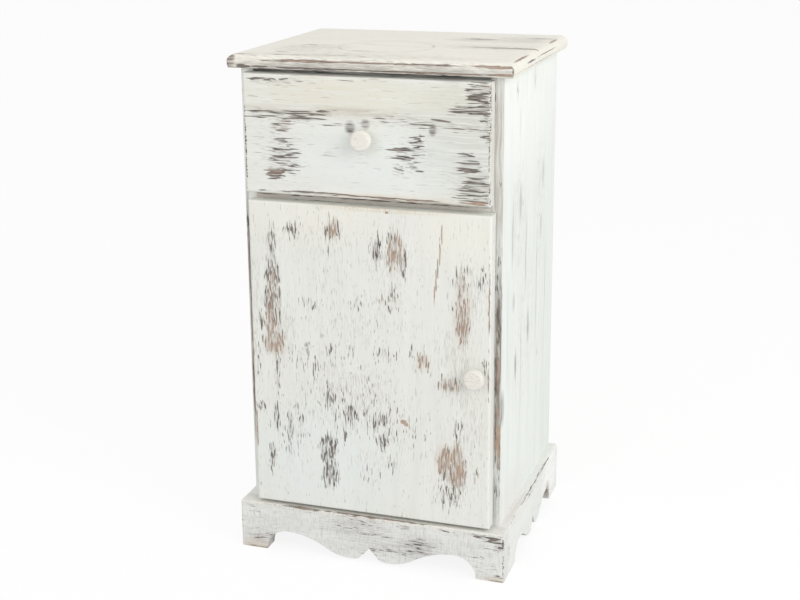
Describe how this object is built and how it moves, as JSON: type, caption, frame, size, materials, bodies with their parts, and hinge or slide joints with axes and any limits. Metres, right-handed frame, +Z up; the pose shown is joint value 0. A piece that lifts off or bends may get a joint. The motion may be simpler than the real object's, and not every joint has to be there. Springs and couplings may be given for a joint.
{
  "type": "nightstand",
  "caption": "Tall narrow bedside cabinet in worn white paint: moulded top, a drawer over a hinged cupboard door, round wooden knobs and a scalloped plinth.",
  "frame": {"origin": "on the floor, under the middle of the overall box, knobs included", "axes": "+Z up, the front with its knobs looks along -Y, +X is to the right seen from the front"},
  "size_m": [0.35, 0.3146, 0.63],
  "materials": {
    "painted_wood": "matt off-white chalk paint rubbed through to brown wood along edges and grain",
    "bare_wood": "planed softwood, unpainted",
    "plywood": "thin plywood, unpainted",
    "brass": "dull plated hinge brass",
    "steel": "zinc-plated steel",
    "catch_plastic": "moulded white plastic",
    "magnet": "bare ferrite magnet"
  },
  "bodies": {
    "case": {"top_panel": "painted_wood", "side_left": "painted_wood", "side_right": "painted_wood", "bottom_board": "painted_wood", "divider_board": "painted_wood", "top_rail_front": "painted_wood", "top_rail_back": "bare_wood", "back_panel": "plywood", "back_nails": "steel", "case_dowels": "bare_wood", "top_screws": "steel", "shelf": "painted_wood", "shelf_pins": "steel", "plinth_front": "painted_wood", "plinth_left": "painted_wood", "plinth_right": "painted_wood", "plinth_back": "bare_wood", "plinth_blocks": "bare_wood", "plinth_screws": "steel", "runner_left": "bare_wood", "runner_right": "bare_wood", "runner_screws": "steel", "hinge_upper_case_leaf": "brass", "hinge_lower_case_leaf": "brass", "hinge_pins": "brass", "hinge_case_screws": "brass", "catch_body": "catch_plastic", "catch_magnet": "magnet", "catch_screws": "steel"},
    "drawer": {"drawer_front": "painted_wood", "drawer_box_front": "bare_wood", "drawer_side_left": "bare_wood", "drawer_side_right": "bare_wood", "drawer_back": "bare_wood", "drawer_bottom": "plywood", "drawer_nails": "steel", "drawer_front_screws": "steel", "drawer_knob": "painted_wood", "drawer_knob_screw": "steel"},
    "door": {"door": "painted_wood", "door_knob": "painted_wood", "door_knob_screw": "steel", "hinge_upper_door_leaf": "brass", "hinge_lower_door_leaf": "brass", "hinge_door_screws": "brass", "strike_plate": "steel", "strike_screws": "steel"}
  },
  "joints": [
    {"name": "drawer_slide", "type": "slide", "parent": "case", "child": "drawer", "axis": [0, -1, 0], "range_m": [0, 0.18]},
    {"name": "door_hinge", "type": "hinge", "parent": "case", "child": "door", "pos_m": [-0.1523, -0.12355, 0.262], "axis": [0, 0, -1], "range_deg": [0, 110]}
  ]
}
